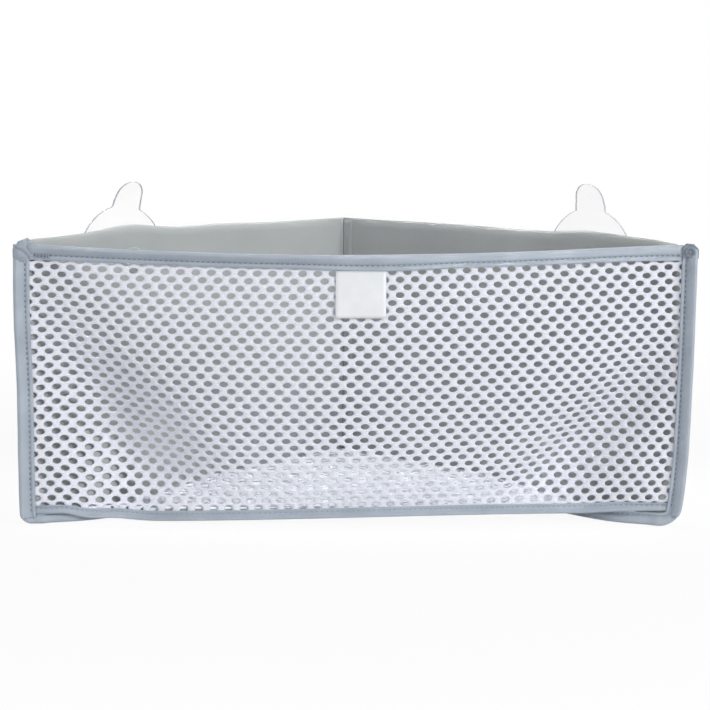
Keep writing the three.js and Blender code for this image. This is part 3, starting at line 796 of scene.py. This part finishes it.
def makeTopTape():
    c, t = frontTape, barTack
    half, depth = c["half"], frontCloth["topSeam"]
    stitchAt = depth - c["stitchFromLip"]
    x = np.linspace(-c["end"], c["end"], c["stations"])

    def spine(station, b):
        return frontDepth(station, topEdge(station)) - topLean(station) * b / depth

    def place(station, a, b):
        y = spine(station, b) + a * endThin(station)
        return xyz(station, y, topEdge(station) - b * topDepth(station) / depth)

    section = tapeSection(-half, half, stitchAt, depth, depth, c["puff"])
    pieces = [addTape("topTape", "front_top_binding", section, x, place)]
    for where, way in (("Front", -1), ("Back", 1)):
        y = spine(x, stitchAt) + way * stitchFloor(half)
        line = xyz(x, y, topEdge(x) - stitchAt * topDepth(x) / depth)
        pieces.append(addStitches(f"topStitches{where}", line, (0, way, 0), paintedShadeThreadMaterial))
    x = t["start"] + t["step"] * np.arange(t["count"])
    at = xyz(x, spine(x, t["drop"]) - half - t["proud"], topEdge(x) - t["drop"])
    ahead = xyz(np.where(np.arange(t["count"]) % 2 > 0, t["lean"], -t["lean"]), 0, 1)
    pieces.append(addThreads("topBarTack", at, ahead, (0, -1, 0), t["length"], paleThreadMaterial))
    return pieces


lowerTapeShape = dict(stitchFromLip=1.7, puff=0.5, stations=150)


def makeLowerTape():
    c = lowerTapeShape
    half, depth = frontTape["half"], frontCloth["lowerSeam"]
    back = bag["knit"] * 1.5 + 2 * bag["gap"] + bag["tape"]  # the floor's knit is sewn in behind the front's
    stitchAt = depth - c["stitchFromLip"]
    x = np.linspace(-frontTape["end"], frontTape["end"], c["stations"])

    def place(station, a, b):
        y, z = lowerEdge(station)
        y = y - seamForward(station) + lowerTilt(station) * (b / depth - 0.5) + a * endThin(station)
        return xyz(station + frontLean(station, z + b), y, z + b)

    section = tapeSection(-half, back, stitchAt, depth, depth, c["puff"])
    pieces = [addTape("lowerTape", "front_bottom_binding", section, x, place)]
    y, z = lowerEdge(x)
    middle, thick = (back - half) / 2, (half + back) / 2
    for where, way in (("Front", -1), ("Back", 1)):
        across = lowerTilt(x) * (stitchAt / depth - 0.5) + middle + way * stitchFloor(thick)
        line = xyz(x + frontLean(x, z + stitchAt), y - seamForward(x) + across, z + stitchAt)
        pieces.append(addStitches(f"lowerStitches{where}", line, (0, way, 0), paleThreadMaterial))
    return pieces


# each side: how wide the tape shows, how the seam bulges, and its end turned over at the top,
# with creases given as circles: along, up and radius
sideTape = {
    -1: dict(frontLip=10.3, stitchAt=7.5, puff=1.15, groove=0.8, bulge=1.1,
             capLow=171, capHigh=184.8, capMiddle=-214.1, capHalf=6.3, capSlope=2.3, capSquare=2.6,
             capMaterial=paintedHalfShadeTapeMaterial, creaseDepth=1.3, creases=((-222, 167, 13), (-205, 187, 7.5))),
    1: dict(frontLip=9.8, stitchAt=7.1, puff=2.3, groove=1.0, bulge=0.0,
            capLow=173.5, capHigh=184.4, capMiddle=215.2, capHalf=5.3, capSlope=0.4, capSquare=2.3,
            capMaterial=paintedDeepShadeTapeMaterial, creaseDepth=1.7,
            creases=((214.6, 179.2, 1.5), (215.2, 179.0, 3.9))),
}
sideRun = dict(
    bulgeAt=140, bulgeWidth=45, ripple=0.25, rippleLength=11, crinkle=0.2, crinkleLength=4.3, backRoll=0.9,
    footFrom=0.6, footThin=0.08, underCap=3, tuckHeight=6, tuckIn=0.25, tuckThin=0.4,
    footStations=6, stations=60, stitchEnd=1,
)
tapeEnd = dict(
    rings=30, around=90, proud=1.5, foot=0.8, footTo=0.25, crown=0.5, crownFrom=0.6,
    gather=0.03, gathers=7, gatherTwist=5, creaseWidth=0.8,
)


def makeTapeEnd(side, name, middle, half):
    # the end of the side tape, turned over the seam and sewn down in small gathers, in a darker copy of the
    # tape that paints its shade
    c, e = sideTape[side], tapeEnd
    angles = np.linspace(0, 2 * np.pi, e["around"], endpoint=False)
    across, deep = (np.sign(v) * np.abs(v) ** (2 / c["capSquare"]) for v in (np.cos(angles), np.sin(angles)))
    loops = []
    for t in np.linspace(0, 1, e["rings"]):
        grow = lerp(e["foot"], 1, ramp(t, 0, e["footTo"])) - e["crown"] * ramp(t, e["crownFrom"], 1) ** 2
        gather = np.sin(e["gathers"] * angles + e["gatherTwist"] * t) * math.sin(math.pi * t)
        x = c["capHalf"] * grow * across
        y = (half + e["proud"]) * grow * (1 + e["gather"] * gather) * deep
        up = lerp(c["capLow"], c["capHigh"], t) - side * c["capSlope"] * t * x / c["capHalf"]
        x = c["capMiddle"] + x
        sunk = 0
        for atX, atZ, radius in c["creases"]:
            sunk = sunk + bump(np.hypot(x - atX, up - atZ), radius, e["creaseWidth"])
        y = y - seamForward(x) + c["creaseDepth"] * np.minimum(sunk, 1) * np.clip(-y / half, 0, 1)
        loops.append(xyz(x, frontY + middle + y, up))
    return addPiece(f"{name}TapeEnd", *loft(loops), c["capMaterial"], "binding_tape")


def makeSideTape(side, name):
    c, r = sideTape[side], sideRun
    node = f"{name}_side_binding"
    low, high = nodeBox(node)
    wide = bag["sideSeam"]
    front, back = low[1] - frontY, high[1] - frontY
    middle, half = (front + back) / 2, (back - front) / 2
    turn = lowerCorner[side]["round"]
    z = runThrough(r["footFrom"] * turn, turn, c["capHigh"] - r["underCap"], r["footStations"], r["stations"])

    def seamShift(height):
        bulge = c["bulge"] * bump(height, r["bulgeAt"], r["bulgeWidth"])
        return bulge + side * frontLean(side * seamX, height)

    def place(station, a, b):
        short = max(turn - station, 0)
        start = turn - math.sqrt(turn ** 2 - short ** 2)
        tuck = ramp(station - c["capLow"], 0, r["tuckHeight"])
        x = bag["halfWidth"] + seamShift(station) - start - b * (wide - start) / wide + r["tuckIn"] * b * tuck
        thin = 1 - r["footThin"] * ramp(turn - station, 0, (1 - r["footFrom"]) * turn)
        thin = thin * (1 - r["tuckThin"] * tuck)
        ripple = r["ripple"] * math.sin(station / r["rippleLength"] + side)
        ripple = ripple + r["crinkle"] * math.sin(station / r["crinkleLength"])
        y = frontY - frontForward(side * seamX, station) + middle + (a - middle) * thin
        y = y + (ripple - seamTurn) * (1 - b / wide)
        bend = wallBend(station)
        y = y + np.where(a > middle, r["backRoll"] * np.clip(b - wide + bend, 0, bend), 0)
        return xyz(side * x, y, station)

    section = tapeSection(front, back, c["stitchAt"], c["frontLip"], wide, c["puff"], c["groove"])
    pieces = [addTape(f"{name}Tape", node, section, z, place)]
    run = np.linspace(turn, c["capLow"] - r["stitchEnd"], r["stations"])
    for where, way in (("Front", -1), ("Back", 1)):
        x = side * (bag["halfWidth"] + seamShift(run) - c["stitchAt"])
        y = frontY - frontForward(side * seamX, run) + middle + way * stitchFloor(half, c["groove"])
        y = y - seamTurn * (1 - c["stitchAt"] / wide)
        pieces.append(addStitches(f"{name}Stitches{where}", xyz(x, y, run), (0, way, 0), paintedShadeThreadMaterial))
    return [*pieces, makeTapeEnd(side, name, middle, half)]


floorTape = dict(
    endAngle=80, endThin=0.75, endRun=12, bendRun=30, cornerRun=20, stitchFromEdge=2.6, stitchFrom=3,
    puff=0.8, bendStations=34, stations=62,
)


def makeFloorTape(side, name):
    c = floorTape
    outer = bag["wall"] / 2 + bag["gap"] + bag["tape"]
    inner = -(bag["wall"] / 2 + 2 * bag["gap"] + bag["knit"] + bag["tape"])
    stitchAt = floorTapeTop - c["stitchFromEdge"]
    section = tapeSection(inner, outer, stitchAt, floorTapeTop, floorTapeTop, c["puff"])
    radius = lowerCorner[side]["round"]
    first = -(bag["sideSeam"] + bag["gap"] - radius + radius * math.radians(c["endAngle"]))
    s = runThrough(first, c["bendRun"], wallLength, c["bendStations"], c["stations"])

    def place(station, a, b):
        atCorner = ramp(station - wallLength, -c["cornerRun"], 0)
        thin = lerp(c["endThin"], 1, ramp(station - first, 0, c["endRun"]))
        return footPoint(side, station + a * atCorner, b, a * thin)

    pieces = [addTape(f"{name}FloorTape", f"{name}_floor_binding", section, s, place)]
    middle, half = (inner + outer) / 2, (outer - inner) / 2
    run = s[s > c["stitchFrom"]][:-2]
    for where, way in (("Out", 1), ("In", -1)):
        line = footPoint(side, run, stitchAt, middle + way * stitchFloor(half))
        outward = (side * way, way, 0)
        pieces.append(addStitches(f"{name}FloorStitches{where}", line, outward, paleThreadMaterial))
    return pieces


topTape = makeTopTape()
lowerTape = makeLowerTape()
leftTape = makeSideTape(-1, "left")
rightTape = makeSideTape(1, "right")
leftFloorTape = makeFloorTape(-1, "left")
rightFloorTape = makeFloorTape(1, "right")
print("tape and stitches made")

# seam tape inside the rear corner, its wide leg folded on the right wall, with the thread in the crease, dark
# to paint the crease's shade too

cornerSeam = dict(
    short=3, wide=9, thickness=0.3, edgeThin=0.4, offWall=0.2, aboveFloor=0.4, belowTop=0.8,
    folds=0.8, foldPower=0.9, foldStart=0.5, foldEnd=(0.55, 1), sideways=0.5, wander=0.12, wanderLength=17,
    flatTop=14, thread=0.6, threadProud=0.15, threadSides=8, steps=15, levels=48,
)


def makeCornerTape():
    c = cornerSeam
    inner = bag["wall"] / 2
    steps = np.linspace(0, 1, c["steps"])
    across = np.concatenate([0 * steps, steps[1:]])
    loops, crease = [], []
    for height in np.linspace(floorTop + c["aboveFloor"], bag["height"] - c["belowTop"], c["levels"]):
        left = wallPoint(-1, wallLength - inner - steps[::-1] * c["short"], height, -inner - c["offWall"])
        right = wallPoint(1, wallLength - inner - steps * c["wide"], height, -inner - c["offWall"])
        backLine = np.concatenate([left, right[1:]])
        wander = c["wander"] * math.sin(height / c["wanderLength"])
        folds = c["folds"] * np.abs(np.sin(np.pi * (2 * across ** c["foldPower"] + wander)))
        folds = folds * lerp(c["foldStart"], 1, across) * (1 - ramp(across, *c["foldEnd"]))
        puff = c["thickness"] + folds * (across > 0) * ramp(bag["height"] - height, 0, c["flatTop"])
        puff[[0, -1]] *= c["edgeThin"]
        frontLine = backLine + xyz(-c["sideways"] * puff * (across > 0), -puff, 0)
        loops.append(np.concatenate([backLine, frontLine[::-1]]))
        crease.append(frontLine[len(steps) - 1] - [0, c["threadProud"], 0])
    tape = addPiece("cornerTape", *loft(loops), wallMaterial, "binding_tape", ["rear_corner_tape"])
    turn = np.arange(c["threadSides"]) * 2 * np.pi / c["threadSides"]
    ring = c["thread"] * xyz(np.cos(turn), np.sin(turn), 0)
    thread = addPiece("cornerThread", *loft([at + ring for at in crease]), paintedShadeThreadMaterial, "binding_tape")
    return [tape, thread]


cornerTape = makeCornerTape()

# bare label under the top binding

label = dict(thickness=0.8, edge=0.25, offCloth=0.45, rows=14, columns=14, curl=1.2, tuck=0.6)


def makeLabel():
    c = label
    centre = (tagLow[0] + tagHigh[0]) / 2
    x = np.linspace(tagLow[0], tagHigh[0], c["columns"])
    loops = []
    for z in np.linspace(tagHigh[2] + c["tuck"], tagLow[2], c["rows"]):
        down = (tagHigh[2] - z) / (tagHigh[2] - tagLow[2])
        y = frontDepth(np.array(centre), np.array(z)) - bag["knit"] / 2 - c["offCloth"]
        curl = c["curl"] * down ** 2 * ((x - centre) / (x[-1] - centre)) ** 2
        back = xyz(x, y - curl, z)
        front = back - [0, c["thickness"], 0]
        left = front[:1] + [-c["edge"], c["thickness"] / 2, 0]
        right = front[-1:] + [c["edge"], c["thickness"] / 2, 0]
        loops.append(np.concatenate([back, right, front[::-1], left]))
    return addPiece("frontLabel", *loft(loops), labelMaterial, "tag_fabric", ["front_tag"], "tag")


frontLabel = makeLabel()
print("label and corner seam made")

# suction cups and eyelets, modelled along the wall, out through it, and up

cup = dict(
    radius=36, rimWidth=5, rimThickness=2.1, height=8, boss=7, neck=4, knob=7, knobHeight=5.3,
    tabReach=16.5, tabRound=10.5, tabTaper=1.0, taperRun=8, tabHalfWidth={-1: 11.4, 1: 12.3},
    tabLift={-1: 6.8, 1: 4.5}, liftPower=1.5, turned={-1: 7, 1: 0},
    edge=0.35, edgeInset=0.1, edgeDrop=0.15, soft=0.4, neckSoft=0.3, knobSoft=0.5,
    around=180, outlineSteps=400, rimSteps=5, centre=0.02,
    hollow=((0.02, 3.2), (8, 3.1), (16, 2.6), (24, 1.5), (28.5, 0.6)),  # radius, depth under the rim
    back=((27, 2.2), (22, 3.5), (16, 4.7), (11, 5.5), (8.6, 6.0), (7.4, 6.6)),
    knobCrown=((1, 1.6), (0.9, 3.2), (0.6, 4.6), (0.3, 5.15)),  # share of the knob's radius, height
)
eyelet = dict(radius=9, flange=1.2, bore=4.3, barrel=5.1, soft=0.35, dome=1.2, around=64)
seat = bag["wall"] / 2 + bag["gap"]  # where the eyelet's two halves meet the wall
washerBack = seat + eyelet["flange"]
shoulder = washerBack + bag["gap"]
rimAt = shoulder + cup["height"]


def stemPlace(side, along, outward, up):
    direction = np.array([-side, 1, 0]) / root2
    normal = np.array([side, 1, 0]) / root2
    start = np.array([side * -stemAt[0], stemAt[1], stemZ])
    along, outward, up = (v[..., None] for v in asArrays(along, outward, up))
    return start + along * direction + outward * normal + up * np.array([0, 0, 1.0])


def cupOutline(side, angles):
    # distance from the stem to the edge: the disc, or the tab where it reaches further
    c = cup
    tip = c["radius"] + c["tabReach"]
    reach = np.full_like(angles, c["radius"])
    for r in np.linspace(c["radius"], tip, c["outlineSteps"]):
        up, aside = r * np.cos(angles), np.abs(r * np.sin(angles))
        past = np.clip((up - (tip - c["tabRound"])) / c["tabRound"], 0, 1)
        width = c["tabHalfWidth"][side] - c["tabTaper"] * ramp(up - c["radius"], 0, c["taperRun"])
        inside = (up > 0) & (aside <= width * np.sqrt(1 - past ** 2)) & (up <= tip)
        reach = np.where(inside, r, reach)
    return reach


def makeCup(side, name):
    c = cup
    angles = np.arange(c["around"]) * 2 * np.pi / c["around"]
    way = angles + math.radians(c["turned"][side])
    reach = cupOutline(side, angles)

    def lift(r):
        # how far the tab bends away from the sealing face
        return c["tabLift"][side] * np.clip((r - c["radius"]) / c["tabReach"], 0, 1) ** c["liftPower"]

    thick, inset, drop = c["rimThickness"], c["edgeInset"], c["edgeDrop"]
    soft, neckSoft, knobSoft = c["soft"], c["neckSoft"], c["knobSoft"]
    rim = [lerp(c["radius"] - c["rimWidth"], reach - c["edge"], t) for t in np.linspace(0, 1, c["rimSteps"])]
    edge = ((inset, drop), (0, thick / 2), (inset, thick - drop))
    profile = [(r, rimAt - depth) for r, depth in c["hollow"]]
    profile += [(r, rimAt - lift(r)) for r in rim]  # sealing face and the back of the tab
    edgeStart = len(profile)
    profile += [(reach - inward, rimAt - lift(reach) - depth) for inward, depth in edge]
    edgeEnd = len(profile) - 1
    profile += [(r, rimAt - lift(r) - thick) for r in rim[::-1]]
    profile += [(r, rimAt - depth) for r, depth in c["back"]]
    profile += [
        (c["boss"], shoulder + soft), (c["boss"] - soft, shoulder), (c["neck"] + soft, shoulder),
        (c["neck"], shoulder - soft), (c["neck"], -shoulder + neckSoft), (c["neck"] + neckSoft, -shoulder),
        (c["knob"] - knobSoft, -shoulder), (c["knob"], -shoulder - knobSoft)]
    profile += [(c["knob"] * share, -shoulder - height) for share, height in c["knobCrown"]]
    profile += [(c["centre"], -shoulder - c["knobHeight"])]
    loops = [stemPlace(side, r * np.sin(way), outward, r * np.cos(way)) for r, outward in profile]
    nodes, body = [f"{name}_suction_cup"], f"{name}_cup"
    piece = addPiece(f"{name}Cup", *loft(loops), pvcMaterial, "clear_vinyl", nodes, body)
    piece.data.materials.append(pvcEdgeMaterial)
    for polygon in piece.data.polygons:
        if edgeStart <= polygon.index // c["around"] < edgeEnd:
            polygon.material_index = 1
    return piece


def makeTurned(side, name, node, profile):
    # a ring turned about the stem from a closed outline of radius and distance outward
    angles = np.arange(eyelet["around"]) * 2 * np.pi / eyelet["around"]
    loops = [stemPlace(side, r * np.sin(angles), out, r * np.cos(angles)) for r, out in profile]
    return addPiece(name, *loft(loops, closedRun=True), nylonMaterial, "eyelet_plastic", [node])


def makeEyelet(side, name):
    bore, barrel, radius, soft = (eyelet[key] for key in ("bore", "barrel", "radius", "soft"))
    dome = radius - eyelet["dome"]
    face = -washerBack
    makeTurned(side, f"{name}Eyelet", f"{name}_eyelet", [
        (bore, face + soft), (bore + soft, face), (dome, face), (radius - soft, face + soft),
        (radius, -seat - soft), (radius - soft, -seat), (barrel, -seat), (barrel, washerBack - soft),
        (barrel - soft, washerBack), (bore, washerBack)])
    hole = barrel + bag["gap"]
    makeTurned(side, f"{name}Washer", f"{name}_eyelet_washer", [
        (hole, seat), (radius - soft, seat), (radius, seat + soft), (radius - soft, washerBack - soft),
        (dome, washerBack), (hole, washerBack)])


for side, name in ((-1, "left"), (1, "right")):
    makeEyelet(side, name)
    makeCup(side, name)
print("cups and eyelets made")

# studio, in metres: white board, a soft key light from the right, a fill from the left and a narrow top light

studio = dict(
    floorSize=12.0, world=0.35, glow=(0.92, 1.0), glowSpan=(0.28, 0.8), aim=(0, 0, 0.1),
    lamps=dict(  # power, size, place and spread
        keyLight=(35, (0.9, 0.9), (1.6, -1.5, 1.15), 180),
        fillLight=(12, (1.4, 1.4), (-1.4, -1.7, 0.5), 180),
        topLight=(0.28, (0.48, 0.17), (0, 0.03, 1.5), 12),
    ),
)


def seenDirectly(tree):
    # 1 for what the camera sees, also through clear plastic or in a reflection
    rays = addNode(tree, "LightPath").outputs
    seen = rays["Is Camera Ray"]
    for ray in ("Is Transmission Ray", "Is Glossy Ray"):
        seen = addNode(tree, "Math", {0: seen, 1: rays[ray]}, operation="MAXIMUM").outputs[0]
    return seen


def whiteBoard():
    # painted white board: keeps the soft shadow and reads as white further out
    material, tree, place = newMaterial("paintedWhiteBoard")
    grainSpacing = 25 * mm
    (nearGlow, farGlow), (near, far) = studio["glow"], studio["glowSpan"]
    tone = twoTone(tree, place, grainSpacing, "#eeeeee", "#f2f2f2")[0]
    paint = addNode(tree, "BsdfDiffuse", {"Color": tone})
    away = addNode(tree, "VectorMath", {0: place}, operation="LENGTH")
    share = addNode(tree, "MapRange", {
        "Value": away.outputs["Value"], "From Min": near, "From Max": far,
        "To Min": nearGlow, "To Max": farGlow})
    glow = addNode(tree, "Emission", {"Color": (1, 1, 1, 1), "Strength": 1.0})
    glowing = addNode(tree, "Math", {0: seenDirectly(tree), 1: share.outputs[0]}, operation="MULTIPLY")
    mixed = addNode(tree, "MixShader", {0: glowing.outputs[0], 1: paint.outputs[0], 2: glow.outputs[0]})
    addNode(tree, "OutputMaterial", {"Surface": mixed.outputs[0]})
    return material


def makeStudio():
    c = studio
    half = c["floorSize"] / 2
    corners = [(-half, -half, 0), (half, -half, 0), (half, half, 0), (-half, half, 0)]
    mesh = bpy.data.meshes.new("studioFloor")
    mesh.from_pydata(corners, [], [(0, 1, 2, 3)])
    mesh.materials.append(whiteBoard())
    board = bpy.data.objects.new("studioFloor", mesh)
    sceneCollection.objects.link(board)

    world = bpy.data.worlds.new("studioWorld")
    bpy.context.scene.world = world
    world.use_nodes = True
    tree = world.node_tree
    tree.nodes.clear()
    strength = addNode(tree, "MapRange", {"Value": seenDirectly(tree), "To Min": c["world"], "To Max": 1.0})
    sky = addNode(tree, "Background", {"Color": (1, 1, 1, 1), "Strength": strength.outputs[0]})
    addNode(tree, "OutputWorld", {"Surface": sky.outputs[0]})

    for name, (power, size, at, spread) in c["lamps"].items():
        lamp = bpy.data.lights.new(name, "AREA")
        lamp.energy = power
        lamp.shape = "RECTANGLE"
        lamp.size, lamp.size_y = size
        lamp.spread = math.radians(spread)
        light = bpy.data.objects.new(name, lamp)
        light.location = at
        light.rotation_euler = (Vector(c["aim"]) - light.location).to_track_quat("-Z", "Y").to_euler()
        sceneCollection.objects.link(light)


makeStudio()
print("studio lit")
